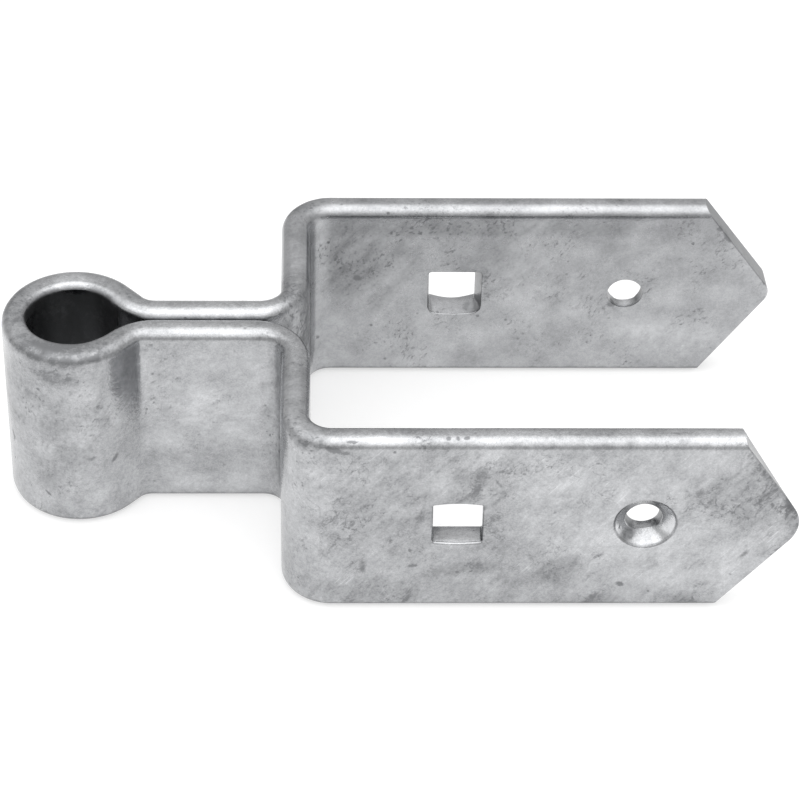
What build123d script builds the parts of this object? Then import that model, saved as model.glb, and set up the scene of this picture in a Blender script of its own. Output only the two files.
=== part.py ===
from build123d import *
import math
import os

# Bottom hinge of a gate: one length of flat bar with rolled round edges. Its middle is bent
# round the gate's pin as an eye, the two legs run back side by side as a neck, step apart
# square to it, and go on as two straps that hold the gate's rail between them.
# Sizes are in millimetres. +Z is up along the pin, +X runs from the eye to the straps' tips,
# and -Y is the front strap. The origin is the middle of the eye.

# Flat bar, on edge
bar_width = 50.0
bar_thickness = 6.5  # 6.35 mm bar and its zinc coat
edge_radius = 2.6

# Eye round the pin
pin_diameter = 19.0
pin_play = 0.5
eye_wrap = 47.0  # turn of each side past the half circle, in degrees

# Neck and fork
leg_gap = 0.5
neck_length = 30.75  # along the outside, from the eye's flank to the cross piece
rail_gap = 75.0
strap_length = 115.5  # from the eye side of the cross pieces to the tips

# Bends. The press leaves them tight inside and wide outside, so the bar is thinner there.
throat_inside = 4.0  # between the eye's flank and the neck
throat_outside = 14.0
shoulder_inside = 4.5  # between the neck and a cross piece
shoulder_outside = 13.0
corner_inside = 5.0  # between a cross piece and a strap
corner_outside = 11.5

# Tip of a strap
tip_angle = 55.0  # each sheared flank against the strap's length
nose_radius = 7.0

# Square hole for a coach bolt, punched from the outer face
square_setback = 75.5  # from its middle to the tip
square_size = 11.0
square_corner = 0.6
square_land = 2.2  # depth of the straight part
square_breakout = 12.6  # size where the punch came out
breakout_corner = 2.0

# Round hole for a countersunk wood screw
screw_setback = 34.2  # from its middle to the tip
screw_diameter = 8.5
sink_diameter = 14.0
sink_angle = 90.0

# Worked out from the sizes above
overshoot = 1.0  # how far a cutting shape stands past the face it opens
bore_radius = (pin_diameter + pin_play) / 2
eye_radius = bore_radius + bar_thickness
slit = leg_gap / 2
leg_outside = slit + bar_thickness
strap_inside = rail_gap / 2
strap_outside = strap_inside + bar_thickness
wrap = math.radians(eye_wrap)
flank_end = (eye_radius - leg_outside * math.cos(wrap)) / math.sin(wrap)
cross_face = flank_end + neck_length  # eye side of the cross pieces
tip_x = cross_face + strap_length
square_x = tip_x - square_setback
screw_x = tip_x - screw_setback


def wall_at_bend(turn, inside, outside):
    """Thickness left in the middle of a bend with these two radii."""
    stretch = 1 / math.cos(turn / 2)
    return bar_thickness * stretch - (outside - inside) * (stretch - 1)


def bar_side(radius, leg_y, cross_x, strap_y, bends, end_x):
    """One side of the front half of the bar, from behind the eye to past the tip."""
    eye = JernArc((-radius, 0), (0, -1), radius, 90 + eye_wrap)
    flank_x = (radius - leg_y * math.cos(wrap)) / math.sin(wrap)
    throat_limit = 0.9 * (flank_x - (eye @ 1).X) / math.cos(wrap) / math.tan(wrap / 2)
    corners = [eye @ 1, (flank_x, -leg_y), (cross_x, -leg_y), (cross_x, -strap_y), (end_x, -strap_y)]
    radii = [min(bends[0], throat_limit), bends[1], bends[2]]
    return eye, FilletPolyline(corners, radius=radii)


def bent_bar():
    """The whole bar, folded, with its ends still square and its long edges round."""
    end_x = tip_x + overshoot
    out_eye, out_run = bar_side(
        eye_radius,
        leg_outside,
        cross_face,
        strap_outside,
        [throat_inside, shoulder_inside, corner_outside],
        end_x,
    )
    in_eye, in_run = bar_side(
        bore_radius,
        slit,
        cross_face + bar_thickness,
        strap_inside,
        [throat_outside, shoulder_outside, corner_inside],
        end_x,
    )
    back = Line(out_eye @ 0, in_eye @ 0)
    end = Line(out_run @ 1, in_run @ 1)
    sides = [out_eye, in_eye] + out_run.edges() + in_run.edges()
    front = make_face([back, end] + sides)
    outline = front + mirror(front, about=Plane.XZ)
    bar = extrude(outline, amount=bar_width / 2, both=True)
    rims = bar.faces().sort_by(Axis.Z)[0].edges() + bar.faces().sort_by(Axis.Z)[-1].edges()
    thinnest = min(
        bar_thickness,
        wall_at_bend(wrap, throat_inside, throat_outside),
        wall_at_bend(math.pi / 2, shoulder_inside, shoulder_outside),
        wall_at_bend(math.pi / 2, corner_inside, corner_outside),
    )
    return fillet(rims, min(edge_radius, 0.46 * thinnest))


def tip_block():
    """Block that holds the whole hinge and trims both straps to their pointed ends."""
    flank = math.radians(tip_angle)
    point_x = tip_x + nose_radius * (1 / math.sin(flank) - 1)
    shear_x = point_x - bar_width / math.tan(flank)
    back_x = -(eye_radius + overshoot)
    corners = [
        (back_x, -bar_width),
        (shear_x, -bar_width),
        (point_x, 0),
        (shear_x, bar_width),
        (back_x, bar_width),
    ]
    shape = make_face(Polyline(corners, close=True))
    nose = shape.vertices().sort_by(Axis.X)[-1]
    shape = fillet(nose, nose_radius)
    return extrude(Plane.XZ * shape, amount=strap_outside + overshoot, both=True)


def strap_plane(x, side):
    """Plane on a strap's outer face at x, with its Z into the metal."""
    return Plane(origin=(x, side * strap_outside, 0), x_dir=(1, 0, 0), z_dir=(0, -side, 0))


def punched_square():
    """Square hole: a straight land, then the wider mouth where the slug broke out."""
    run = bar_thickness - square_land
    past = (run + overshoot) / run
    mouth_size = square_size + past * (square_breakout - square_size)
    mouth_corner = square_corner + past * (breakout_corner - square_corner)
    entry = RectangleRounded(square_size, square_size, square_corner)
    mouth = RectangleRounded(mouth_size, mouth_size, mouth_corner)
    land = Pos(0, 0, -overshoot) * extrude(entry, amount=square_land + overshoot)
    depth = bar_thickness + overshoot
    breakout = loft([Pos(0, 0, square_land) * entry, Pos(0, 0, depth) * mouth])
    return land + breakout


def countersunk_round():
    """Round hole with its countersink on the outer face."""
    slope = math.tan(math.radians(sink_angle / 2))
    sink_depth = (sink_diameter - screw_diameter) / 2 / slope
    wide = sink_diameter / 2 + overshoot * slope
    hole = Cylinder(screw_diameter / 2, bar_thickness + 2 * overshoot)
    sink = Cone(wide, screw_diameter / 2, sink_depth + overshoot)
    return Pos(0, 0, bar_thickness / 2) * hole + Pos(0, 0, (sink_depth - overshoot) / 2) * sink


def bottom_hinge():
    """The folded bar, pointed and punched."""
    hinge = bent_bar() & tip_block()
    for side in (-1, 1):
        hinge -= strap_plane(square_x, side) * punched_square()
        hinge -= strap_plane(screw_x, side) * countersunk_round()
    return hinge


hinge = bottom_hinge()
print(f"eye wraps {180 + 2 * eye_wrap:.1f} degrees, cross pieces from x {cross_face:.2f}")
print(f"tips at x {tip_x:.2f}, square holes at {square_x:.2f}, screw holes at {screw_x:.2f}")

os.makedirs("parts", exist_ok=True)
export_step(hinge, "parts/bottom_hinge.step")
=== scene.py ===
import math

import bmesh
import bpy
import numpy as np
from mathutils import Matrix, Vector


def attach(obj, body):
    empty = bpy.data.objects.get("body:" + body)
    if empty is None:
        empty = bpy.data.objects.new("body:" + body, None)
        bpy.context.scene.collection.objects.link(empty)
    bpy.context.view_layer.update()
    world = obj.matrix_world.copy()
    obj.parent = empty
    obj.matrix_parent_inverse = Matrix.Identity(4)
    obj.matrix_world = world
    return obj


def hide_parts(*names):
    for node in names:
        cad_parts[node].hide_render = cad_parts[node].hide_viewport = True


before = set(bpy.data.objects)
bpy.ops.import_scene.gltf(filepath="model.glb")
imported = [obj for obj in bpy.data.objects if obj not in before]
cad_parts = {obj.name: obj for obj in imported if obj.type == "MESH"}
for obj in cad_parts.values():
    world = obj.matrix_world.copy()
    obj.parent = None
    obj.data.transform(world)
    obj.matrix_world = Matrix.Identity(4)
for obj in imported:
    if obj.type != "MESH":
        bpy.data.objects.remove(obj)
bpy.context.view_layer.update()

mm = 0.001  # sizes below are in millimetres, the scene is in metres


# sRGB hex to linear: the piecewise sRGB curve, channel by channel
def toLinear(hexText):
    channels = np.array([int(hexText[start:start + 2], 16) for start in (0, 2, 4)]) / 255.0
    low = channels / 12.92
    high = ((channels + 0.055) / 1.055) ** 2.4
    return tuple(np.where(channels <= 0.04045, low, high)) + (1.0,)


# 0 below start, 1 above end, and an even S between them: 3s^2 - 2s^3
def smoothStep(values, start, end):
    share = np.clip((values - start) / (end - start), 0.0, 1.0)
    return share * share * (3.0 - 2.0 * share)


# a mesh object from points in millimetres: its quads, and the flat faces that close its two ends
def meshPiece(name, points, quads, caps=()):
    mesh = bpy.data.meshes.new(name)
    mesh.from_pydata((points * mm).tolist(), [], quads.tolist() + [cap.tolist() for cap in caps])
    mesh.update()
    piece = bpy.data.objects.new(name, mesh)
    bpy.context.scene.collection.objects.link(piece)
    return piece


# quads between neighbouring rows of a grid whose columns run round a closed ring
def ringQuads(rows, columns):
    row = np.arange(rows - 1)[:, None]
    column = np.arange(columns)[None, :]
    after = (column + 1) % columns
    corners = [row * columns + column, row * columns + after,
               (row + 1) * columns + after, (row + 1) * columns + column]
    return np.stack(corners, axis=-1).reshape(-1, 4)


# the first and the last row of such a grid, as one flat face each
def endCaps(rows, columns):
    return [np.arange(columns)[::-1], (rows - 1) * columns + np.arange(columns)]


# a mesh's points in millimetres, one row each
def pointsOf(piece):
    points = np.empty(len(piece.data.vertices) * 3, dtype=np.float32)
    piece.data.vertices.foreach_get("co", points)
    return points.reshape(-1, 3) / mm


# keeps one number for each point or face, which the material reads by its name
def keepLayer(piece, name, domain, values):
    layer = piece.data.attributes.new(name, "FLOAT", domain)
    layer.data.foreach_set("value", values.astype(np.float32))


bar = {
    "width": 50.0, "thickness": 6.5, "edgeRound": 2.6,
    "pressedRound": 1.7,  # the eye's inner edge, squeezed tighter as the bar was rolled
    "pressedEnd": (6.0, 15.0),  # where that fades out, along x
    "backThin": 1.0, "boreLean": -0.3,  # its back is drawn thinner, and the bore lies to the front
    "boreLeanEnd": (3.0, 12.0),
    "bore": 9.75, "eyeWrap": 47.0,
    "slit": 0.5, "neckLength": 30.75, "neckLean": -0.8,  # the hand-bent neck lies to the front
    "crossLean": 0.4,  # and the front cross piece leans towards the gap at the shoulder
    "railGap": 75.0, "strapLength": 115.5,
    "throat": (3.0, 14.0),      # the smaller and the larger radius of each bend
    "shoulder": (4.5, 13.0),
    "corner": (5.0, 11.5),
    "pastTip": 2.5,  # how far the bar runs on before its tips are cut
    "runSteps": (52, 6, 28, 30, 108), "bendSteps": 34, "roundSteps": 9, "faceSteps": 40,
}
wrap = math.radians(bar["eyeWrap"])
eyeRadius = bar["bore"] + bar["thickness"]
legOutside = bar["slit"] / 2 + bar["thickness"]
flankEnd = (eyeRadius - legOutside * math.cos(wrap)) / math.sin(wrap)
crossFace = flankEnd + bar["neckLength"]
tipX = crossFace + bar["strapLength"]
strapOutside = bar["railGap"] / 2 + bar["thickness"]


# a rounded corner: the arc of that radius that touches both lines, in even turns
def cornerArc(before, corner, after, radius, steps):
    back = (before - corner) / np.linalg.norm(before - corner)
    ahead = (after - corner) / np.linalg.norm(after - corner)
    half = math.acos(float(np.clip(back @ ahead, -1, 1))) / 2
    middle = corner + (back + ahead) / np.linalg.norm(back + ahead) * radius / math.sin(half)
    start = corner + back * radius / math.tan(half) - middle
    turn = math.pi - 2 * half
    sign = np.sign(start[0] * (corner - middle)[1] - start[1] * (corner - middle)[0])
    angles = sign * np.linspace(0.0, turn, steps + 1)
    return middle + np.stack([start[0] * np.cos(angles) - start[1] * np.sin(angles),
                              start[0] * np.sin(angles) + start[1] * np.cos(angles)], axis=-1)


# one side of half the bar: arc of the eye, then straight runs joined by the three bends,
# each run cut in the same number of steps on both sides so that the sections match
def barSide(radius, legY, crossX, strapY, rounds, crossLean):
    counts = bar["runSteps"]
    angles = np.pi + np.linspace(0.0, np.pi / 2 + wrap, counts[0] + 1)
    eye = radius * np.stack([np.cos(angles), np.sin(angles)], axis=-1)
    flankX = (radius - legY * math.cos(wrap)) / math.sin(wrap)
    corners = np.array([eye[-1], (flankX, -legY), (crossX + crossLean, -legY), (crossX, -strapY),
                        (tipX + bar["pastTip"], -strapY)])
    run = [eye]
    last = eye[-1]
    for index, rounding in enumerate(rounds):
        arc = cornerArc(corners[index], corners[index + 1], corners[index + 2],
                        rounding, bar["bendSteps"])
        share = np.linspace(0.0, 1.0, counts[index + 1] + 1)[1:, None]
        run.append(last + (arc[0] - last) * share)
        run.append(arc[1:])
        last = arc[-1]
    share = np.linspace(0.0, 1.0, counts[4] + 1)[1:, None]
    run.append(last + (corners[4] - last) * share)
    return np.concatenate(run)


# half the bar's path from behind the eye to a tip: its outer and its inner side
def halfPath(lean, crossLean):
    outer = barSide(eyeRadius, legOutside + lean, crossFace, strapOutside,
                    [bar["throat"][0], bar["shoulder"][0], bar["corner"][1]], crossLean)
    inner = barSide(bar["bore"], bar["slit"] / 2 + lean, crossFace + bar["thickness"],
                    bar["railGap"] / 2,
                    [bar["throat"][1], bar["shoulder"][1], bar["corner"][0]], crossLean)
    return outer, inner


# one long side of the section, as shares of the half thickness and half width: a quarter round,
# the wide face, and a quarter round again, counted upwards
def sectionSide(rounding):
    wide = rounding / (bar["thickness"] / 2)
    tall = rounding / (bar["width"] / 2)
    turn = np.linspace(0.0, np.pi / 2, bar["roundSteps"] + 1)
    arcAcross = 1 - wide + wide * np.cos(turn)
    arcUp = 1 - tall + tall * np.sin(turn)
    faceUp = np.linspace(-(1 - tall), 1 - tall, bar["faceSteps"] + 1)[1:-1]
    across = np.concatenate([arcAcross[::-1], np.ones(len(faceUp)), arcAcross])
    up = np.concatenate([-arcUp[::-1], faceUp, arcUp])
    return across, up


# the whole section, counted once round: its outer side, a point on the top, its inner side turned
# over, and a point on the bottom
def barSection(outerRound, innerRound):
    outAcross, outUp = sectionSide(outerRound)
    inAcross, inUp = sectionSide(innerRound)
    across = np.concatenate([outAcross, [0.0], -inAcross[::-1], [0.0]])
    up = np.concatenate([outUp, [1.0], inUp[::-1], [-1.0]])
    return across, up


# the section carried along the folded path: middle + across * half thickness + up * half width
def buildBar():
    frontOut, frontIn = halfPath(-bar["neckLean"], bar["crossLean"])
    rearOut, rearIn = halfPath(bar["neckLean"], 0.0)
    flip = np.array([1.0, -1.0])
    outer = np.concatenate([frontOut[::-1], (rearOut * flip)[1:]])
    inner = np.concatenate([frontIn[::-1], (rearIn * flip)[1:]])
    inner[:, 1] += bar["boreLean"] * (1.0 - smoothStep(inner[:, 0], *bar["boreLeanEnd"]))
    inner[:, 0] *= np.where(inner[:, 0] < 0, 1.0 + bar["backThin"] / bar["bore"], 1.0)
    middle = (outer + inner) / 2
    half = (outer - inner) / 2
    rolled, rolledUp = barSection(bar["edgeRound"], bar["edgeRound"])
    pressed, pressedUp = barSection(bar["edgeRound"], bar["pressedRound"])
    share = 1.0 - smoothStep(middle[:, 0], *bar["pressedEnd"])[:, None]  # round the eye only
    across = rolled + (pressed - rolled) * share
    up = rolledUp + (pressedUp - rolledUp) * share
    flat = middle[:, None, :] + half[:, None, :] * across[..., None]
    rise = up * bar["width"] / 2
    points = np.concatenate([flat, rise[..., None]], axis=-1)
    rows, columns = points.shape[:2]
    piece = meshPiece("hingeBar", points.reshape(-1, 3), ringQuads(rows, columns),
                      endCaps(rows, columns))
    turnOutward(piece)
    return piece


overshoot = 1.0  # how far a cutter stands past the face that it opens

# each strap's pointed outline on its outer and its inner face: lean of the two flanks, height and
# radius of the nose, and how far it falls short. The front one broke off aslant under the shear.
tip = {
    "edgeBreak": 0.3, "pastStrap": 2.0, "behindEye": 3.0, "noseSteps": 16,
    "frontOuter": {"low": 52.3, "high": 57.3, "noseUp": 0.4, "nose": 8.5, "reach": -0.65},
    "frontInner": {"low": 52.3, "high": 60.5, "noseUp": 0.4, "nose": 9.0, "reach": -3.0},
    "rearOuter": {"low": 56.2, "high": 55.0, "noseUp": 0.3, "nose": 4.5, "reach": 0.2},
    "rearInner": {"low": 56.2, "high": 55.0, "noseUp": 0.3, "nose": 4.5, "reach": 0.6},
}
# The square hole. "miss" is how far each punch missed, along and up, and "bow" how far the top, left,
# bottom and right sides swell. The mouth is on the inner face: "tall" times as high as it is wide,
# moved along by "shift", with its corners counted from the top right one, anticlockwise.
square = {"setback": 75.5, "size": 11.0, "land": 2.2, "corner": 0.6,
          "cornerSteps": 6, "sideSteps": 10, "lipSteps": 7,
          "front": {"miss": (-0.7, 0.8), "lip": 0.7, "bow": (0.4, 0.0, 0.3, 0.0),
                    "mouth": 11.7, "tall": 1.11, "shift": 0.0, "mouthLip": 0.2,
                    "mouthCorners": (0.6, 0.6, 0.6, 0.6), "mouthBow": (0.0, 0.0, 0.0, 0.0)},
          "rear": {"miss": (0.6, 0.0), "lip": 0.4, "bow": (0.0, 0.0, 1.0, 0.0),
                   "mouth": 12.7, "tall": 0.985, "shift": 0.45, "mouthLip": 0.3,
                   "mouthCorners": (0.7, 0.9, 2.0, 2.6), "mouthBow": (0.0, 0.0, 0.3, 0.0)}}
# The round hole. Its countersink has a small steep step at the rim. Then it narrows by "slope" for
# each millimetre of depth, by more where "slopeUp" times the sine of the turn adds to that.
# "drill" is the hole itself, which wandered: depth, radius, and how far along and up from the sink.
screwHole = {
    "setback": 34.2, "sink": 14.0, "lip": 0.25, "lipDepth": 0.15,
    "step": 0.2, "stepDepth": 0.4, "coneDepth": 3.8, "coneSteps": 14, "roundSteps": 96,
    "slope": 1.2, "slopeUp": 0.365, "slopeSquared": -0.185,
    "front": {"miss": (-0.5, 0.9), "drill": ((3.2, 4.25, -0.2, -0.5), (3.5, 4.1, -0.2, -0.52),
                                             (6.0, 3.7, -0.15, -1.1), (6.5, 3.85, -0.15, -1.2))},
    "rear": {"miss": (0.6, -0.1), "drill": ((3.2, 4.2, -0.1, -0.1), (3.5, 4.05, -0.1, -0.12),
                                            (6.4, 4.2, -0.1, 0.0), (6.5, 4.25, -0.1, 0.0))},
}


# rings stacked along an axis and joined: ring i lies at depths[i] into the metal
def stackedRings(name, rings, depths, placeRing):
    points = np.concatenate([placeRing(ring, depth) for ring, depth in zip(rings, depths)])
    rows, columns = len(rings), len(rings[0])
    piece = meshPiece(name, points, ringQuads(rows, columns), endCaps(rows, columns))
    turnOutward(piece)
    return piece


# turns every face's normal away from the inside of a closed mesh
def turnOutward(piece):
    shape = bmesh.new()
    shape.from_mesh(piece.data)
    bmesh.ops.recalc_face_normals(shape, faces=shape.faces)
    shape.to_mesh(piece.data)
    shape.free()


# a square ring with round corners, counted once round from its top side: each side swells by its
# bow times half a sine wave
def squareRing(size, corners, bows):
    half = size / 2
    turn = np.linspace(0.0, np.pi / 2, square["cornerSteps"] + 1)
    share = np.linspace(0.0, 1.0, square["sideSteps"] + 1)[1:-1]
    ring = []
    for quarter, bow in enumerate(bows):
        corner, following = corners[quarter], corners[(quarter + 1) % 4]
        arc = half - corner + corner * np.stack([np.cos(turn), np.sin(turn)], axis=-1)
        along = half - corner - (size - corner - following) * share
        edge = np.stack([along, half + bow * np.sin(np.pi * share)], axis=-1)
        side = np.concatenate([arc, edge])
        angle = quarter * np.pi / 2
        ring.append(np.stack([side[:, 0] * math.cos(angle) - side[:, 1] * math.sin(angle),
                              side[:, 0] * math.sin(angle) + side[:, 1] * math.cos(angle)], axis=-1))
    return np.concatenate(ring)


# points round a circle of radius 1, at even turns
roundTurn = np.linspace(0.0, 2 * np.pi, screwHole["roundSteps"] + 1)[:-1]
circle = np.stack([np.cos(roundTurn), np.sin(roundTurn)], axis=-1)


# places a flat ring on a strap: x along the strap, z up, depth from its outer face inwards
def onStrap(setback, miss, side):
    def place(ring, depth):
        y = np.full(len(ring), side * (strapOutside - depth))
        return np.stack([tipX - setback + miss[0] + ring[:, 0], y, miss[1] + ring[:, 1]], axis=-1)
    return place


# a punched hole: the edge drawn in as a quarter round, a straight land, then the wider mouth, whose
# own edge is broken as a quarter round
def squareCutter(side):
    hole = square["front" if side < 0 else "rear"]
    size, corners, lip = square["size"], np.full(4, square["corner"]), hole["lip"]
    turn = np.linspace(0.0, np.pi / 2, square["lipSteps"] + 1)
    spread = [lip + overshoot] + list(lip * (1 - np.sin(turn))) + [0.0]
    depths = [-overshoot] + list(lip * (1 - np.cos(turn))) + [square["land"]]
    rings = [squareRing(size + 2 * wide, corners + wide, hole["bow"]) for wide in spread]

    mouthLip, mouthCorners = hole["mouthLip"], np.array(hole["mouthCorners"])
    turn = turn[::2]
    spread = list(mouthLip * (1 - np.cos(turn))) + [mouthLip + overshoot]
    sunk = list(bar["thickness"] - mouthLip * (1 - np.sin(turn))) + [bar["thickness"] + overshoot]
    for wide, depth in zip(spread, sunk):
        ring = squareRing(hole["mouth"] + 2 * wide, mouthCorners + wide, hole["mouthBow"])
        rings.append(ring * np.array([1.0, hole["tall"]]) + np.array([hole["shift"], 0.0]))
        depths.append(depth)
    return stackedRings("squareCutter", rings, depths,
                        onStrap(square["setback"], hole["miss"], side))


# the countersink: a steep little step at its rim, then a cone that is steeper at the bottom, where
# the zinc ran off, than at its top and sides
def sinkCutter(side):
    hole = screwHole["front" if side < 0 else "rear"]
    rim, lip = screwHole["sink"] / 2, screwHole["lip"]
    step, stepDepth = screwHole["step"], screwHole["stepDepth"]
    rise = np.sin(roundTurn)
    slope = screwHole["slope"] + screwHole["slopeUp"] * rise + screwHole["slopeSquared"] * rise ** 2
    depths = np.linspace(stepDepth, screwHole["coneDepth"], screwHole["coneSteps"])
    rings = [circle * radius for radius in (rim + lip + overshoot, rim + lip, rim)]
    rings += [circle * (rim - step - (depth - stepDepth) * slope)[:, None] for depth in depths]
    return stackedRings("sinkCutter", rings, [-overshoot, 0.0, screwHole["lipDepth"], *depths],
                        onStrap(screwHole["setback"], hole["miss"], side))


# the hole, which opens a little where it meets the countersink and where the drill came out
def drillCutter(side):
    hole = screwHole["front" if side < 0 else "rear"]
    first, last = hole["drill"][0], hole["drill"][-1]
    steps = [(-overshoot, *first[1:]), *hole["drill"],
             (last[0] + overshoot, last[1] + overshoot, *last[2:])]
    rings = [circle * radius + np.array([along, up]) for _, radius, along, up in steps]
    return stackedRings("drillCutter", rings, [step[0] for step in steps],
                        onStrap(screwHole["setback"], hole["miss"], side))


# the pointed outline of a strap, drawn in by a small amount where an edge is broken
def tipRing(shape, inset):
    low, high = math.radians(shape["low"]), math.radians(shape["high"])
    width, radius = bar["width"], shape["nose"]
    reach = tipX + shape["reach"] - inset
    pointX = reach + radius * (1 / math.sin((low + high) / 2) - 1)
    backX = -(eyeRadius + tip["behindEye"])
    lowEnd = np.array([pointX - width / math.tan(low), shape["noseUp"] - width])
    nose = np.array([pointX, shape["noseUp"]])
    highEnd = np.array([pointX - width / math.tan(high), shape["noseUp"] + width])
    arc = cornerArc(lowEnd, nose, highEnd, radius, tip["noseSteps"])
    return np.concatenate([np.array([[backX, lowEnd[1]]]), lowEnd[None, :], arc, highEnd[None, :],
                           np.array([[backX, highEnd[1]]])])


# both straps' outlines carried across the hinge, each over its own strap
def tipBlock():
    edge, past = tip["edgeBreak"], tip["pastStrap"]
    out, inner = strapOutside, bar["railGap"] / 2
    levels = [(-out - past, "frontOuter", edge), (-out, "frontOuter", edge),
              (-out + edge, "frontOuter", 0.0), (-inner - edge, "frontInner", 0.0),
              (-inner, "frontInner", edge), (inner, "rearInner", edge),
              (inner + edge, "rearInner", 0.0), (out - edge, "rearOuter", 0.0),
              (out, "rearOuter", edge), (out + past, "rearOuter", edge)]

    def place(ring, y):
        return np.stack([ring[:, 0], np.full(len(ring), y), ring[:, 1]], axis=-1)
    return stackedRings("tipBlock", [tipRing(tip[name], inset) for _, name, inset in levels],
                        [y for y, _, _ in levels], place)


# applies a boolean of the piece with a cutter, then deletes the cutter
def cutWith(piece, cutter, operation):
    modifier = piece.modifiers.new("cut", "BOOLEAN")
    modifier.object = cutter
    modifier.operation = operation
    modifier.solver = "EXACT"
    view = bpy.context.view_layer
    view.update()
    evaluated = piece.evaluated_get(bpy.context.evaluated_depsgraph_get())
    cut = bpy.data.meshes.new_from_object(evaluated)
    piece.modifiers.clear()
    old = piece.data
    piece.data = cut
    bpy.data.meshes.remove(old)
    shape = cutter.data
    bpy.data.objects.remove(cutter)
    bpy.data.meshes.remove(shape)


hinge = buildBar()
print("bar:", len(hinge.data.polygons), "faces")
cutWith(hinge, tipBlock(), "INTERSECT")
for side in (-1, 1):
    cutWith(hinge, squareCutter(side), "DIFFERENCE")
    cutWith(hinge, sinkCutter(side), "DIFFERENCE")
    cutWith(hinge, drillCutter(side), "DIFFERENCE")
print("cut:", len(hinge.data.polygons), "faces")
hinge.data.shade_smooth()
hinge.data.set_sharp_from_angle(angle=math.radians(32))  # the holes' and the tips' edges stay crisp


# adds a node, sets its options, and fills each socket with a value or a link
def addNode(tree, kind, inputs=None, **settings):
    node = tree.nodes.new(kind)
    for name, value in settings.items():
        setattr(node, name, value)
    for name, value in (inputs or {}).items():
        found = [socket for socket in node.inputs if socket.enabled and socket.name == name]
        socket = node.inputs[name] if isinstance(name, int) else found[0]
        if isinstance(value, bpy.types.NodeSocket):
            tree.links.new(value, socket)
        else:
            socket.default_value = value
    return node


# sizes of the patterns are in millimetres
zinc = {
    "dark": "828385", "bright": "d4d5d7",  # greys of the coat where it is dull and where it is new
    "tone": 0.463,  # share of the bright one where every pattern is at its middle
    "cloud": 9.0, "broad": 32.0, "grain": 1.1,  # mottling of the zinc, from coarse to fine
    "speck": 0.42, "speckShare": 0.44,
    "brushAngle": 52.0, "brushLong": 5.0, "brushWide": 1.6,  # smears left by handling in a pile
    "scratchLong": 7.0, "scratchWide": 0.3,  # real ones are finer and wouldn't show
    "stainLong": 8.0, "stainWide": 2.6,
    "fleckLong": 1.3, "fleckWide": 0.8, "fleckPatch": 11.0, "fleckSway": 16.0,
    "pitCell": 3.6, "pitSize": 0.42,
    "vein": 5.5, "veinWide": 0.022,
    "shake": 1.6, "shakeReach": 1.1,  # how the outlines of the marks wander
    "dirtAndShade": (-22.8, -24.3),  # heights where the lower edge's painted shade, with some dirt, starts and is full
    "frontFace": (-40.0, -43.5),  # from there on to there the marks of handling grow to their full
    "roughness": 0.16,  # before the clouds, the stains and the wear add to it
}

# small marks that show on the real piece: place, half length, half width, lean in degrees, depth
marks = [
    ((58.6, -44.0, 22.8), 2.2, 0.7, -18, 0.75), ((61.0, -44.0, 21.9), 1.6, 0.5, -10, 0.55),
    ((90.6, -44.0, 15.6), 2.6, 1.2, 62, 0.45), ((89.7, -44.0, 10.8), 2.2, 1.0, 75, 0.5),
    ((94.9, -44.0, 12.7), 1.5, 0.5, -60, 0.4), ((65.0, -44.0, -12.0), 1.9, 0.8, 95, 0.7),
    ((76.1, -44.0, -11.8), 1.4, 0.45, 15, 0.75), ((62.5, -44.0, 0.7), 0.8, 0.5, 60, 0.5),
    ((71.3, -44.0, -4.1), 0.8, 0.5, 80, 0.45), ((122.9, -44.0, -17.3), 1.0, 0.85, -40, 1.4),
    ((150.1, -44.0, -8.2), 1.5, 0.6, 60, 0.8), ((138.8, -44.0, 10.4), 1.2, 1.0, 0, 0.5),
    ((159.2, -44.0, 7.6), 2.6, 1.6, -55, 0.6), ((117.5, -44.0, -8.8), 1.3, 0.5, 25, 0.6),
    ((62.5, -43.1, 24.45), 1.3, 0.25, 0, 1.4), ((56.4, -39.2, 24.3), 1.9, 0.35, -8, 0.8),
    ((83.5, -42.3, 24.85), 0.6, 0.3, 0, 1.1), ((85.4, -42.3, 24.85), 0.5, 0.3, 0, 1.1),
    ((87.4, -42.3, 24.85), 0.6, 0.3, 0, 1.1), ((133.0, -40.8, 24.6), 4.2, 0.5, 2, 0.9),
    ((-14.6, -7.2, -5.6), 1.6, 0.4, 95, 0.9), ((-6.7, -14.8, -16.7), 1.1, 0.35, -50, 0.9),
    ((8.8, -13.7, -6.9), 1.3, 0.5, 60, 0.9), ((3.8, -15.8, -5.2), 1.1, 0.6, 0, 0.5),
    ((5.4, -15.2, 23.9), 1.2, 0.6, 10, 0.9), ((131.8, 39.3, -0.7), 1.0, 2.4, -8, 1.1),
    ((64.4, 37.5, 4.6), 1.0, 0.8, 0, 0.6), ((125.2, 38.0, -3.5), 1.0, 0.9, -40, 0.8),
    ((54.9, 37.5, -12.9), 0.8, 0.5, -60, 0.95), ((90.7, 40.0, -5.9), 0.9, 1.2, 0, 0.4),
    ((150.0, 37.5, 19.6), 0.9, 0.6, 0, 1.0), ((151.6, 37.5, 17.0), 1.9, 0.5, -55, 0.7),
]
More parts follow.
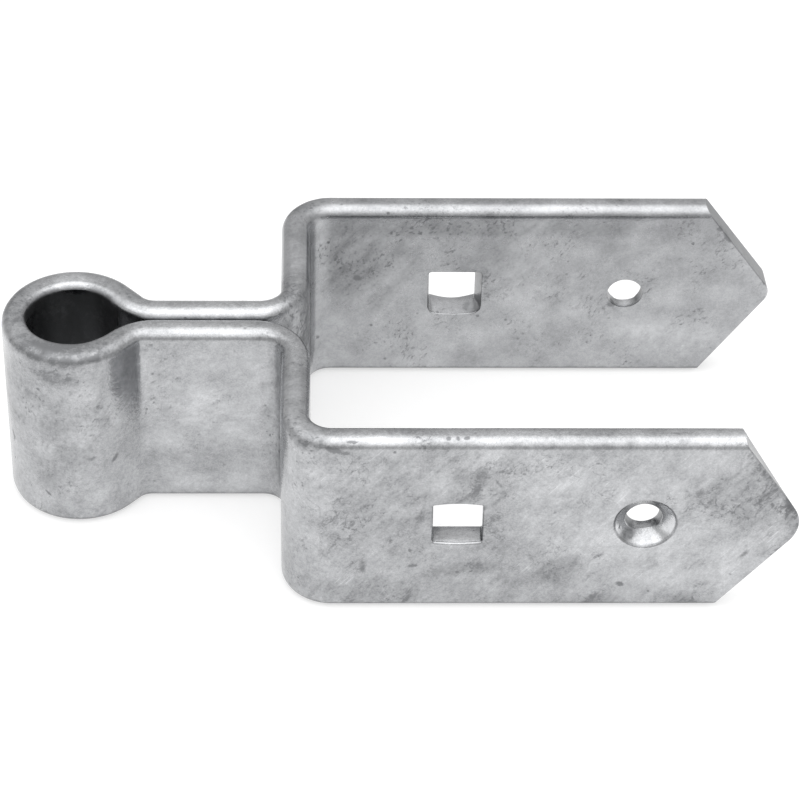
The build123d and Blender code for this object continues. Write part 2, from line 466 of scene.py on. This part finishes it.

# broad patches, kept at the mesh's points: place, half sizes along x, y and z, lean, and how dull,
# where less than 0 is bright and polished. Most are wear; some are painted shade and some painted
# highlights, as marked below
patches = [
    ((-4.0, -9.0, 25.5), (17.0, 10.5, 4.6), 0, 0.55),        # top of the eye, rubbed by the hook
    ((-12.0, 3.0, 25.5), (6.0, 9.0, 4.0), 0, 0.6),
    ((-5.5, -15.0, 19.2), (7.5, 4.0, 2.2), -8, 0.45),
    ((6.9, -14.8, 6.6), (2.2, 3.0, 4.5), 20, 0.28),
    ((50.5, -41.0, 24.0), (7.5, 7.0, 3.0), 0, 0.62),        # tops of the corner bends
    ((51.0, 41.0, 24.0), (7.5, 7.0, 3.0), 0, 0.62),
    ((72.0, -44.0, 8.0), (21.0, 3.0, 14.0), 35, 0.26),
    ((92.5, -44.0, 10.5), (7.0, 3.0, 8.5), 60, 0.26),
    ((86.0, -44.0, 1.0), (10.5, 3.0, 9.5), 0, 0.2),         # round the square hole
    ((88.0, -44.0, -12.6), (8.0, 3.0, 2.4), 8, 0.55),
    ((109.0, -44.0, -13.0), (6.5, 3.0, 4.0), 25, 0.5),
    ((149.0, -44.0, 7.0), (13.0, 3.0, 7.5), -38, 0.34),
    ((-3.0, -16.0, -2.0), (11.0, 8.0, 22.0), 0, 0.24),
    ((9.8, -14.0, 9.0), (2.6, 4.0, 12.0), 0, -0.1),
    ((50.5, 36.5, 20.5), (6.0, 4.0, 3.0), -35, 0.45),
    ((49.5, 7.5, 8.0), (7.0, 9.0, 22.0), 0, 0.95),          # painted shade where the legs part
    ((50.0, 24.0, 0.0), (4.0, 13.0, 24.0), 0, 0.2),         # painted shade on the inner side of the rear cross piece
    ((96.0, 37.5, 19.5), (44.0, 3.0, 2.8), 0, 0.22),
    ((62.0, 37.5, 12.0), (7.0, 3.0, 10.0), 10, 0.16),
    ((28.5, -7.5, -11.5), (9.0, 2.0, 2.6), 0, 0.2),
    ((24.4, -7.5, 4.6), (1.6, 2.0, 3.6), 0, 0.22),
    ((160.5, -44.0, 4.0), (3.0, 3.0, 5.5), 20, 0.7),        # nose of the front strap
    ((154.5, -44.0, 14.0), (11.0, 3.0, 1.8), -56, 0.4),
    ((152.0, -44.0, 13.0), (8.0, 3.0, 6.0), -50, 0.35),
    ((-2.0, -13.5, 24.5), (15.0, 5.0, 2.5), 0, 0.32),       # near rim of the eye
    ((-0.5, 10.8, 24.6), (4.5, 2.6, 2.0), 0, -1.6),         # painted highlight on the rear rim, with smoother zinc
    ((6.5, -15.0, 7.0), (3.0, 4.0, 6.0), 0, 0.12),
    ((10.5, -13.0, -2.0), (2.4, 4.0, 7.0), 0, 0.1),
    ((0.0, 0.0, 0.0), (13.0, 13.0, 30.0), 0, 0.15),         # the bore: painted shade, and rough zinc
    ((45.0, -9.0, 0.0), (3.5, 3.0, 26.0), 0, 0.4),          # painted shade in the hollows of the bends
    ((16.5, -8.5, 0.0), (2.2, 2.5, 26.0), 0, 0.12),
    ((50.5, 37.0, 0.0), (3.5, 3.5, 22.0), 0, 0.35),
    ((108.0, 37.5, 0.0), (52.0, 3.0, 26.0), 0, 0.08),
    ((50.0, -24.0, 24.5), (4.5, 14.0, 3.0), 0, 0.25),
    ((67.0, -42.0, 24.5), (10.0, 3.0, 2.0), 0, -0.5),       # painted highlight on stretches of the top edge
    ((146.0, -42.0, 24.5), (10.0, 3.0, 2.0), 0, -0.5),
    ((86.0, -41.0, -4.8), (7.0, 4.0, 1.6), 0, -0.5),        # painted highlight on the lower side of the front square hole
    ((123.9, -42.5, -3.4), (2.2, 2.0, 1.5), 0, 0.8),        # smudge in the front countersink
    ((-9.0, -13.5, 12.0), (5.0, 4.0, 5.0), 0, 0.25),
    ((13.0, 8.0, 25.0), (7.0, 5.0, 2.0), 0, 0.4),
    # painted highlight on the tops of the neck's legs
    ((33.0, 3.0, 24.5), (17.0, 5.0, 2.0), 0, -0.4),
    ((33.0, -5.0, 24.5), (15.0, 3.0, 2.0), 0, -0.4),
    ((66.0, -44.0, -20.0), (16.0, 3.0, 6.0), 0, 0.3),
    ((60.0, -44.0, 3.0), (5.0, 3.0, 6.0), 0, -0.2),
    ((-13.0, -9.0, 8.0), (5.0, 7.0, 12.0), 0, 0.25),
    ((3.0, -16.0, -19.0), (9.0, 4.0, 6.0), 0, -0.3),
    ((30.0, -7.5, 2.0), (7.0, 2.0, 10.0), 20, -0.35),
    ((33.0, -7.5, -20.0), (12.0, 2.0, 3.5), 0, -0.35),
    ((22.0, -7.5, 3.0), (4.0, 2.0, 6.0), 0, 0.2),
    ((140.0, 37.5, -14.0), (12.0, 3.0, 7.0), 0, -0.35),
    ((129.0, 37.5, -9.0), (9.0, 3.0, 5.0), 0, -0.2),
    ((66.0, 37.5, 8.0), (14.0, 3.0, 16.0), 0, 0.22),
    ((98.0, 37.5, 8.0), (14.0, 3.0, 8.0), 0, 0.14),
    ((118.0, -44.0, -23.0), (6.0, 3.0, 2.6), 0, 0.5),
    ((137.5, -44.0, -22.5), (5.0, 3.0, 2.6), 0, 0.5),
    ((118.0, -44.0, 2.0), (24.0, 3.0, 18.0), 0, -0.22),     # cleaner, brighter zinc
    ((140.0, -44.0, -8.0), (14.0, 3.0, 12.0), 0, -0.15),
]
patchFade = (0.4, 1.25)  # where a patch starts and ends to fade, as a share of its half sizes
patchLimits = (-0.6, 1.0)


# wear and painted light at each point: for every patch, depth times an S-shaped fall from its middle
# out
def paintPatches(piece):
    points = pointsOf(piece)
    wearAndPaintedLight = np.zeros(len(points))
    for centre, halves, leanOver, depth in patches:
        angle = math.radians(leanOver)
        apart = points - np.array(centre)
        along = apart[:, 0] * math.cos(angle) + apart[:, 2] * math.sin(angle)
        across = apart[:, 2] * math.cos(angle) - apart[:, 0] * math.sin(angle)
        turned = np.stack([along, apart[:, 1], across], axis=-1)
        away = np.sqrt(((turned / np.array(halves)) ** 2).sum(axis=-1))
        wearAndPaintedLight += depth * (1.0 - smoothStep(away, *patchFade))
    keepLayer(piece, "wearAndPaintedLight", "POINT", np.clip(wearAndPaintedLight, *patchLimits))


# Painted shade where little light gets in: how dark it is, and where each shade starts and ends, in
# millimetres. The bore and the slit are painted dark from just behind the bar's rounded edges:
# "boreRound" and "slitRound" are shares of that rounding. The countersinks' "light" is painted light.
hollow = {
    "start": 0.1, "boreRound": 0.4, "slitRound": 0.3, "slitFrom": (6.0, 9.0), "slitTo": (46.0, 50.0),
    "wall": (0.8, 6.38), "holesUp": 8.0, "holesBeforeTip": 22.0,  # where the holes' walls are
    "square": {"dark": 0.5, "fade": (3.5, 5.8), "reach": 8.0},
    "screw": {"dark": 1.2, "fade": (1.5, 4.0), "reach": 6.0, "depth": 3.0},
    "rim": {"dark": 0.9, "fade": (-0.5, -0.15)},  # a ring at the countersink's rim
    "sink": {"depth": (0.05, 3.4), "light": 1.1, "above": (-3.0, -1.0), "beside": (1.5, 3.5),
             "besideShare": 0.6, "fromHole": (4.2, 5.0), "pastRim": 0.1},
}


# painted shade on the walls of the bore and the slit, from the distance to the pin's axis or to the
# middle of the neck, and on the side walls of the holes; in a countersink a painted dark ring less a
# painted light share that grows upwards and to the right
def paintShadeAndLight(piece):
    points = pointsOf(piece)
    start, rounding = hollow["start"], bar["edgeRound"]
    away = np.hypot(points[:, 0], points[:, 1])
    inBore = 1.0 - smoothStep(away, bar["bore"] + start,
                              bar["bore"] + hollow["boreRound"] * rounding)
    toMiddle = np.abs(points[:, 1] - bar["neckLean"])
    inSlit = 1.0 - smoothStep(toMiddle, bar["slit"] / 2 + start,
                              bar["slit"] / 2 + hollow["slitRound"] * rounding)
    inSlit *= smoothStep(points[:, 0], *hollow["slitFrom"])
    inSlit *= 1.0 - smoothStep(points[:, 0], *hollow["slitTo"])

    depth = strapOutside - np.abs(points[:, 1])
    inWall = (depth > hollow["wall"][0]) & (depth < hollow["wall"][1])
    inWall &= np.abs(points[:, 2]) < hollow["holesUp"]
    inWall &= points[:, 0] < tipX - hollow["holesBeforeTip"]
    shade = hollow["square"]
    apart = np.abs(points[:, 0] - tipX + square["setback"])
    besideSquare = shade["dark"] * smoothStep(apart, *shade["fade"]) * inWall
    besideSquare *= apart < shade["reach"]
    shade = hollow["screw"]
    apart = np.abs(points[:, 0] - tipX + screwHole["setback"])
    besideScrew = shade["dark"] * smoothStep(apart, *shade["fade"]) * inWall
    besideScrew *= (apart < shade["reach"]) & (depth > shade["depth"])
    dark = np.max([inBore, inSlit, besideSquare, besideScrew], axis=0)

    rim, shade = screwHole["sink"] / 2, hollow["sink"]
    for name, onSide in (("front", points[:, 1] < 0), ("rear", points[:, 1] > 0)):
        along = points[:, 0] - tipX + screwHole["setback"] - screwHole[name]["miss"][0]
        rise = points[:, 2] - screwHole[name]["miss"][1]
        radius = np.hypot(along, rise)
        inSink = onSide & (depth > shade["depth"][0]) & (depth < shade["depth"][1])
        inSink &= radius < rim + shade["pastRim"]
        ring = smoothStep(radius - rim, *hollow["rim"]["fade"])
        light = np.maximum(smoothStep(rise, *shade["above"]),
                           shade["besideShare"] * smoothStep(along, *shade["beside"]))
        light *= shade["light"] * smoothStep(radius, *shade["fromHole"]) * (1.0 - ring)
        dark = np.where(inSink, hollow["rim"]["dark"] * ring - light, dark)
    keepLayer(piece, "paintedShadeAndLight", "POINT", dark)


# where the tips were sheared, as x before the tip, and how dark the cut is on each strap
shear = {"before": 45.0, "facing": 0.5, "across": 0.6, "fromSink": 2.0, "front": 0.75, "rear": 1.0}


# the sheared faces of the tips, which look along the straps, as dark as given, and 0 elsewhere
def paintSheared(piece):
    faces = piece.data.polygons
    centres = np.empty(len(faces) * 3, dtype=np.float32)
    faces.foreach_get("center", centres)
    centres = centres.reshape(-1, 3) / mm
    facing = np.empty(len(faces) * 3, dtype=np.float32)
    faces.foreach_get("normal", facing)
    facing = facing.reshape(-1, 3)
    atTip = (centres[:, 0] > tipX - shear["before"]) & (facing[:, 0] > shear["facing"])
    atTip &= np.abs(facing[:, 1]) < shear["across"]
    away = np.hypot(centres[:, 0] - tipX + screwHole["setback"], centres[:, 2])
    atTip &= away > screwHole["sink"] / 2 + shear["fromSink"]
    keepLayer(piece, "sheared", "FACE",
              atTip * np.where(centres[:, 1] < 0, shear["front"], shear["rear"]))
    print("sheared faces:", int(atTip.sum()))


# The coat of a hot-dip galvanised bar: a metal of uneven grey, mottled by its crystals and
# by handling. It mirrors the studio softly, a little sharper where the zinc is smooth. Painted shade
# and painted highlights are laid into its grey as well.
def galvanisedSteel():
    coat = bpy.data.materials.new("galvanised steel, hot-dip zinc coat")
    coat.use_nodes = True
    tree = coat.node_tree
    tree.nodes.clear()
    place = addNode(tree, "ShaderNodeTexCoord").outputs["Object"]
    perMetre = {name: 1000 / size for name, size in zinc.items() if isinstance(size, float)}

    # smears and scratches lean to one side: the pattern is turned, then drawn out
    turned = addNode(tree, "ShaderNodeMapping", {
        "Vector": place, "Rotation": (0.0, math.radians(zinc["brushAngle"]), 0.0)}).outputs["Vector"]
    swirl = addNode(tree, "ShaderNodeTexNoise", {
        "Vector": place, "Scale": perMetre["broad"], "Detail": 2.0}).outputs["Color"]
    swayed = addNode(tree, "ShaderNodeVectorMath", {
        0: swirl, 1: (zinc["fleckSway"] * mm,) * 3, 2: turned},
        operation="MULTIPLY_ADD").outputs["Vector"]
    drawnOut = {}
    for name, start in (("brush", turned), ("scratch", turned), ("stain", turned), ("fleck", swayed)):
        along, across = perMetre[name + "Long"], perMetre[name + "Wide"]
        drawnOut[name] = addNode(tree, "ShaderNodeMapping", {
            "Vector": start, "Scale": (along, across, across)}).outputs["Vector"]

    # noises: pattern, where it is read, scale, detail and roughness
    noise = {}
    for name, start, scale, detail, rough in (
            ("cloud", place, perMetre["cloud"], 5.0, 0.6),
            ("broad", place, perMetre["broad"], 3.0, 0.5),
            ("grain", place, perMetre["grain"], 3.0, 0.6),
            ("speck", place, perMetre["speck"], 1.0, 0.5),
            ("brush", drawnOut["brush"], 1.0, 4.0, 0.6),
            ("scratch", drawnOut["scratch"], 1.0, 1.0, 0.5),
            ("stain", drawnOut["stain"], 1.0, 5.0, 0.65),
            ("fleck", drawnOut["fleck"], 1.0, 3.0, 0.6),
            ("fleckPatch", place, perMetre["fleckPatch"], 4.0, 0.6)):
        noise[name] = addNode(tree, "ShaderNodeTexNoise", {
            "Vector": start, "Scale": scale, "Detail": detail, "Roughness": rough}).outputs["Fac"]
    cloud, broad = noise["cloud"], noise["broad"]

    # smears, scratches and stains, strongest on the outer face of the front strap
    depthAt = addNode(tree, "ShaderNodeSeparateXYZ", {"Vector": place}).outputs["Y"]
    onFront = addNode(tree, "ShaderNodeMapRange", {
        "Value": depthAt, "From Min": zinc["frontFace"][0] * mm,
        "From Max": zinc["frontFace"][1] * mm, "To Min": 0.2, "To Max": 1.0}).outputs["Result"]
    brushRise = addNode(tree, "ShaderNodeMath", {0: noise["brush"], 1: 0.5},
                        operation="SUBTRACT").outputs[0]
    brush = addNode(tree, "ShaderNodeMath", {0: brushRise, 1: onFront, 2: 0.5},
                    operation="MULTIPLY_ADD").outputs[0]
    shaped = {}
    for name, shape, low, high, patch, patchLow, patchHigh in (
            ("scratch", noise["scratch"], 0.66, 0.76, cloud, 0.45, 0.62),
            ("stain", noise["stain"], 0.54, 0.74, broad, 0.42, 0.6)):
        shapeAt = addNode(tree, "ShaderNodeMapRange", {
            "Value": shape, "From Min": low, "From Max": high}).outputs["Result"]
        patchAt = addNode(tree, "ShaderNodeMapRange", {
            "Value": patch, "From Min": patchLow, "From Max": patchHigh}).outputs["Result"]
        both = addNode(tree, "ShaderNodeMath", {0: shapeAt, 1: patchAt}, operation="MULTIPLY")
        shaped[name] = addNode(tree, "ShaderNodeMath", {0: both.outputs[0], 1: onFront},
                               operation="MULTIPLY").outputs[0]
    scratch, stain = shaped["scratch"], shaped["stain"]

    # pits: a round one in some of the cells, deeper in some than in others
    cells = addNode(tree, "ShaderNodeTexVoronoi", {"Vector": place, "Scale": perMetre["pitCell"]})
    pitReach = zinc["pitSize"] / zinc["pitCell"]
    pitShape = addNode(tree, "ShaderNodeMapRange", {
        "Value": cells.outputs["Distance"], "From Min": 0.4 * pitReach, "From Max": 1.2 * pitReach,
        "To Min": 1.0, "To Max": 0.0}).outputs["Result"]
    lot = addNode(tree, "ShaderNodeSeparateColor", {"Color": cells.outputs["Color"]}).outputs["Red"]
    chosen = addNode(tree, "ShaderNodeMapRange", {
        "Value": lot, "From Min": 0.6, "From Max": 0.95, "To Max": 0.8}).outputs["Result"]
    pit = addNode(tree, "ShaderNodeMath", {0: pitShape, 1: chosen}, operation="MULTIPLY").outputs[0]

    # thin dark wisps where the coat crazed or was scuffed: narrow bands about the middle of a noise
    crooked = addNode(tree, "ShaderNodeTexNoise", {
        "Vector": turned, "Scale": perMetre["vein"], "Detail": 4.0, "Roughness": 0.55,
        "Distortion": 0.6}).outputs["Fac"]
    fromMiddle = addNode(tree, "ShaderNodeMath", {0: crooked, 1: 0.5},
                         operation="SUBTRACT").outputs[0]
    fromMiddle = addNode(tree, "ShaderNodeMath", {0: fromMiddle}, operation="ABSOLUTE").outputs[0]
    vein = addNode(tree, "ShaderNodeMapRange", {
        "Value": fromMiddle, "From Max": zinc["veinWide"], "To Min": 1.0,
        "To Max": 0.0}).outputs["Result"]
    veinPlace = addNode(tree, "ShaderNodeMapRange", {
        "Value": noise["fleckPatch"], "From Min": 0.47, "From Max": 0.62}).outputs["Result"]
    vein = addNode(tree, "ShaderNodeMath", {0: vein, 1: veinPlace}, operation="MULTIPLY").outputs[0]
    vein = addNode(tree, "ShaderNodeMath", {0: vein, 1: onFront}, operation="MULTIPLY").outputs[0]

    # listed marks: each is a soft ellipse whose outline is made ragged
    shake = addNode(tree, "ShaderNodeTexNoise", {
        "Vector": place, "Scale": perMetre["shake"], "Detail": 3.0}).outputs["Color"]
    shakeOut = addNode(tree, "ShaderNodeVectorMath", {0: shake, 1: (0.5, 0.5, 0.5)},
                       operation="SUBTRACT").outputs["Vector"]
    ragged = addNode(tree, "ShaderNodeVectorMath", {
        0: shakeOut, 1: (zinc["shakeReach"] * mm,) * 3, 2: place},
        operation="MULTIPLY_ADD").outputs["Vector"]
    marked = None
    for centre, longHalf, wideHalf, leanOver, depth in marks:
        deepHalf = 0.6 if centre[2] > 24.0 else 2.0  # a mark on a rounded top edge stays on it
        local = addNode(tree, "ShaderNodeMapping", {
            "Vector": ragged, "Location": tuple(part * mm for part in centre),
            "Rotation": (0.0, -math.radians(leanOver), 0.0),
            "Scale": (longHalf * mm, deepHalf * mm, wideHalf * mm)}, vector_type="TEXTURE")
        away = addNode(tree, "ShaderNodeVectorMath", {0: local.outputs["Vector"]}, operation="LENGTH")
        spot = addNode(tree, "ShaderNodeMapRange", {
            "Value": away.outputs["Value"], "From Min": 0.35, "From Max": 1.35, "To Min": depth,
            "To Max": 0.0}, interpolation_type="SMOOTHSTEP").outputs["Result"]
        marked = spot if marked is None else addNode(
            tree, "ShaderNodeMath", {0: marked, 1: spot}, operation="MAXIMUM").outputs[0]

    # broad patches from the mesh, wear with painted shade and painted highlights, broken up by the
    # stains' noise
    painted = addNode(tree, "ShaderNodeAttribute", attribute_name="wearAndPaintedLight").outputs["Fac"]
    broken = addNode(tree, "ShaderNodeMapRange", {
        "Value": noise["stain"], "From Min": 0.3, "From Max": 0.7, "To Min": 0.3,
        "To Max": 1.6}).outputs["Result"]
    brokenWearAndLight = addNode(tree, "ShaderNodeMath", {0: painted, 1: broken}, operation="MULTIPLY").outputs[0]
    # painted shade in the bore, the slit and the holes' walls, and painted light in the countersinks
    paintedShadeAndLight = addNode(tree, "ShaderNodeAttribute", attribute_name="paintedShadeAndLight").outputs["Fac"]
    sheared = addNode(tree, "ShaderNodeAttribute", attribute_name="sheared").outputs["Fac"]

    # small dark flecks, gathered in loose patches and where the coat is dull
    fleckShape = addNode(tree, "ShaderNodeMapRange", {
        "Value": noise["fleck"], "From Min": 0.54, "From Max": 0.74}).outputs["Result"]
    fleckShare = addNode(tree, "ShaderNodeMapRange", {
        "Value": noise["fleckPatch"], "From Min": 0.5, "From Max": 0.7,
        "To Min": 0.03}).outputs["Result"]
    fleckShare = addNode(tree, "ShaderNodeMath", {0: painted, 1: 0.8, 2: fleckShare},
                         operation="MULTIPLY_ADD").outputs[0]
    fleck = addNode(tree, "ShaderNodeMath", {0: fleckShape, 1: fleckShare},
                    operation="MULTIPLY").outputs[0]

    # the lower edge is darker: painted shade of the floor's contact shadow, with some dirt where it
    # has lain
    height = addNode(tree, "ShaderNodeSeparateXYZ", {"Vector": ragged}).outputs["Z"]
    dirtAndShade = addNode(tree, "ShaderNodeMapRange", {
        "Value": height, "From Min": zinc["dirtAndShade"][0] * mm, "From Max": zinc["dirtAndShade"][1] * mm,
        "To Max": 1.0}, interpolation_type="SMOOTHSTEP").outputs["Result"]

    # fine mottling, weaker on the smoother rear strap
    fine = addNode(tree, "ShaderNodeMix", {
        "Factor": zinc["speckShare"], "A": noise["grain"], "B": noise["speck"]}).outputs["Result"]
    calm = addNode(tree, "ShaderNodeMapRange", {
        "Value": depthAt, "From Min": 0.0, "From Max": 0.03, "To Min": 1.0,
        "To Max": 0.55}).outputs["Result"]
    fineRise = addNode(tree, "ShaderNodeMath", {0: fine, 1: 0.5}, operation="SUBTRACT").outputs[0]
    fine = addNode(tree, "ShaderNodeMath", {0: fineRise, 1: calm, 2: 0.5},
                   operation="MULTIPLY_ADD").outputs[0]

    # tone: its middle plus each noise about a half, times its share, plus or less the rest
    mottling = [(cloud, 0.95), (broad, 0.6), (fine, 0.9), (brush, 0.5)]
    tone = zinc["tone"] - sum(share for _, share in mottling) / 2
    # some layers below are painted shade and painted highlights: parts of the broad patches, the
    # lower edge, and the walls of the bore, the slit and the holes
    for layer, share in mottling + [
            (scratch, 0.35), (stain, -0.3), (fleck, -0.75), (vein, -0.3), (pit, -0.7), (marked, -0.6),
            (brokenWearAndLight, -0.45), (dirtAndShade, -0.8), (paintedShadeAndLight, -0.45), (sheared, -0.42)]:
        tone = addNode(tree, "ShaderNodeMath", {0: layer, 1: share, 2: tone},
                       operation="MULTIPLY_ADD").outputs[0]
    colour = addNode(tree, "ShaderNodeMix", {
        "Factor": tone, "A": toLinear(zinc["dark"]), "B": toLinear(zinc["bright"])}, data_type="RGBA")

    # roughness: smooth coat, duller in stains, where it is worn, and on the walls of the holes
    walled = addNode(tree, "ShaderNodeMath", {0: paintedShadeAndLight, 1: 0.0}, operation="MAXIMUM").outputs[0]
    rough = zinc["roughness"] - 0.04
    for layer, share in ((noise["grain"], 0.08), (cloud, 0.14), (stain, 0.10), (fleck, 0.12),
                         (marked, 0.12), (brokenWearAndLight, 0.34), (sheared, 0.15), (walled, 0.13)):
        rough = addNode(tree, "ShaderNodeMath", {0: layer, 1: share, 2: rough},
                        operation="MULTIPLY_ADD").outputs[0]

    # relief in millimetres, summed and turned into a normal
    relief = 0.0
    for layer, share in ((cloud, 0.16), (fine, 0.034), (brush, 0.012), (fleck, -0.012),
                         (scratch, -0.006), (pit, -0.07)):
        relief = addNode(tree, "ShaderNodeMath", {0: layer, 1: share, 2: relief},
                         operation="MULTIPLY_ADD").outputs[0]
    normal = addNode(tree, "ShaderNodeBump", {"Height": relief, "Distance": mm, "Strength": 1.0})

    surface = addNode(tree, "ShaderNodeBsdfPrincipled", {
        "Base Color": [socket for socket in colour.outputs if socket.enabled][0], "Metallic": 1.0,
        "Roughness": rough, "Normal": normal.outputs["Normal"]})
    addNode(tree, "ShaderNodeOutputMaterial", {"Surface": surface.outputs["BSDF"]})
    return coat


paintPatches(hinge)
paintSheared(hinge)
paintShadeAndLight(hinge)
hinge.data.materials.clear()
hinge.data.materials.append(galvanisedSteel())
print("coat:", len(patches), "patches and", len(marks), "marks")

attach(hinge, "root")
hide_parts("bottom_hinge")


# A white sheet of paper on a grey bench, in metres. Between the two distances of "fade" from the
# middle its grey goes from the first to the second of "grey", and the "lift" to white runs out.
stage = {"middle": (0.075, 0.0, -0.025), "reach": 4.0, "fade": (0.14, 0.36), "grey": (0.5, 0.55),
         "lift": 0.56}

floorMesh = bpy.data.meshes.new("paperFloor")
reach, floorZ = stage["reach"], stage["middle"][2]
floorMesh.from_pydata([(-reach, -reach, floorZ), (reach, -reach, floorZ), (reach, reach, floorZ),
                       (-reach, reach, floorZ)], [], [(0, 1, 2, 3)])
floor = bpy.data.objects.new("paperFloor", floorMesh)
bpy.context.scene.collection.objects.link(floor)

paper = bpy.data.materials.new("white paper sheet on a grey bench")
paper.use_nodes = True
tree = paper.node_tree
tree.nodes.clear()
place = addNode(tree, "ShaderNodeTexCoord").outputs["Object"]
centred = addNode(tree, "ShaderNodeVectorMath", {0: place, 1: stage["middle"]}, operation="SUBTRACT")
away = addNode(tree, "ShaderNodeVectorMath", {0: centred.outputs["Vector"]},
               operation="LENGTH").outputs["Value"]
fade = addNode(tree, "ShaderNodeMapRange", {
    "Value": away, "From Min": stage["fade"][0], "From Max": stage["fade"][1],
    "To Min": stage["grey"][0], "To Max": stage["grey"][1]},
    interpolation_type="SMOOTHSTEP").outputs["Result"]
shade = addNode(tree, "ShaderNodeCombineColor", {"Red": fade, "Green": fade, "Blue": fade})
matt = addNode(tree, "ShaderNodeBsdfDiffuse", {"Color": shade.outputs["Color"]})
lift = addNode(tree, "ShaderNodeMapRange", {
    "Value": away, "From Min": stage["fade"][0], "From Max": stage["fade"][1],
    "To Min": stage["lift"], "To Max": 0.0}, interpolation_type="SMOOTHSTEP").outputs["Result"]
# the sheet is lifted to white where it is looked at, straight or in the metal
path = addNode(tree, "ShaderNodeLightPath")
looked = path.outputs["Is Camera Ray"]
for ray in ("Is Glossy Ray", "Is Transmission Ray"):
    looked = addNode(tree, "ShaderNodeMath", {0: looked, 1: path.outputs[ray]},
                     operation="ADD", use_clamp=True).outputs[0]
strength = addNode(tree, "ShaderNodeMath", {0: looked, 1: lift}, operation="MULTIPLY").outputs[0]
white = (1.0, 1.0, 1.0, 1.0)
glow = addNode(tree, "ShaderNodeEmission", {"Color": white, "Strength": strength})
seen = addNode(tree, "ShaderNodeAddShader", {0: matt.outputs["BSDF"], 1: glow.outputs["Emission"]})
addNode(tree, "ShaderNodeOutputMaterial", {"Surface": seen.outputs["Shader"]})
floorMesh.materials.append(paper)

# One room for every ray, so the metal mirrors what the camera would see: plain walls, and a soft
# light overhead whose level falls off evenly round its axis, a little to the front.
room = {"axis": (0.0, -0.19, 0.98), "fade": (0.36, 1.0), "wall": 0.69, "overhead": 1.9}
world = bpy.data.worlds.new("studio")
bpy.context.scene.world = world
world.use_nodes = True
tree = world.node_tree
tree.nodes.clear()
direction = addNode(tree, "ShaderNodeTexCoord").outputs["Generated"]
toAxis = addNode(tree, "ShaderNodeVectorMath", {0: direction, 1: room["axis"]},
                 operation="DOT_PRODUCT").outputs["Value"]
level = addNode(tree, "ShaderNodeMapRange", {
    "Value": toAxis, "From Min": room["fade"][0], "From Max": room["fade"][1],
    "To Min": room["wall"], "To Max": room["overhead"]},
    interpolation_type="SMOOTHSTEP").outputs["Result"]
air = addNode(tree, "ShaderNodeBackground", {"Color": white, "Strength": level})
addNode(tree, "ShaderNodeOutputWorld", {"Surface": air.outputs["Background"]})

# flat square lamps: direction in degrees, distance and side in metres, radiance in W/m2/sr
lamps = {
    "overheadSoftbox": {"azimuth": 0.0, "elevation": 79.0, "distance": 0.9, "side": 0.7,
                        "radiance": 0.25},
    "sideSoftbox": {"azimuth": -62.0, "elevation": 42.0, "distance": 0.9, "side": 0.5,
                    "radiance": 0.6},
}
lampTarget = Vector((0.075, 0.0, 0.0))


# a flat lamp that looks at the target: its power is radiance * area * pi
def softBox(name, azimuth, elevation, distance, side, radiance):
    lamp = bpy.data.lights.new(name, "AREA")
    lamp.shape = "RECTANGLE"
    lamp.size, lamp.size_y = side, side
    lamp.energy = radiance * side * side * math.pi
    box = bpy.data.objects.new(name, lamp)
    box.visible_camera = False
    bpy.context.scene.collection.objects.link(box)
    azimuth, elevation = math.radians(azimuth), math.radians(elevation)
    back = Vector((math.sin(azimuth) * math.cos(elevation),
                   -math.cos(azimuth) * math.cos(elevation), math.sin(elevation)))
    box.location = lampTarget + back * distance
    box.rotation_euler = back.to_track_quat("Z", "Y").to_euler()


for name, lamp in lamps.items():
    softBox(name, **lamp)
print("stage:", len(lamps), "lamps")

# the camera, fitted to the photo's outlines: degrees, millimetres, and the focal length in pixels
view = {"azimuth": -1.884, "elevation": 41.198, "roll": 1.285, "distance": 783.652,
        "focal": 3396.529, "target": (74.048, 0.0, -1.152), "frameWide": 800.0, "sensorWide": 36.0}
azimuth, elevation, roll = (math.radians(view[name]) for name in ("azimuth", "elevation", "roll"))
back = np.array([math.sin(azimuth) * math.cos(elevation),
                 -math.cos(azimuth) * math.cos(elevation), math.sin(elevation)])
right = np.cross(-back, (0.0, 0.0, 1.0))
right /= np.linalg.norm(right)
up = np.cross(right, -back)
rolledRight = math.cos(roll) * right + math.sin(roll) * up
rolledUp = -math.sin(roll) * right + math.cos(roll) * up
lens = bpy.data.cameras.new("camera")
lens.sensor_fit = "HORIZONTAL"
lens.sensor_width = view["sensorWide"]
lens.lens = view["focal"] * view["sensorWide"] / view["frameWide"]
lens.clip_start, lens.clip_end = 0.01, 50.0
camera = bpy.data.objects.new("camera", lens)
bpy.context.scene.collection.objects.link(camera)
where = (np.array(view["target"]) + back * view["distance"]) * mm
matrix = np.eye(4)
matrix[:3] = np.stack([rolledRight, rolledUp, back, where], axis=-1)
camera.matrix_world = Matrix(matrix.tolist())
bpy.context.scene.camera = camera
print("camera:", round(lens.lens, 1), "mm lens,", view["distance"], "mm away")

bpy.context.scene.view_settings.view_transform = "Standard"
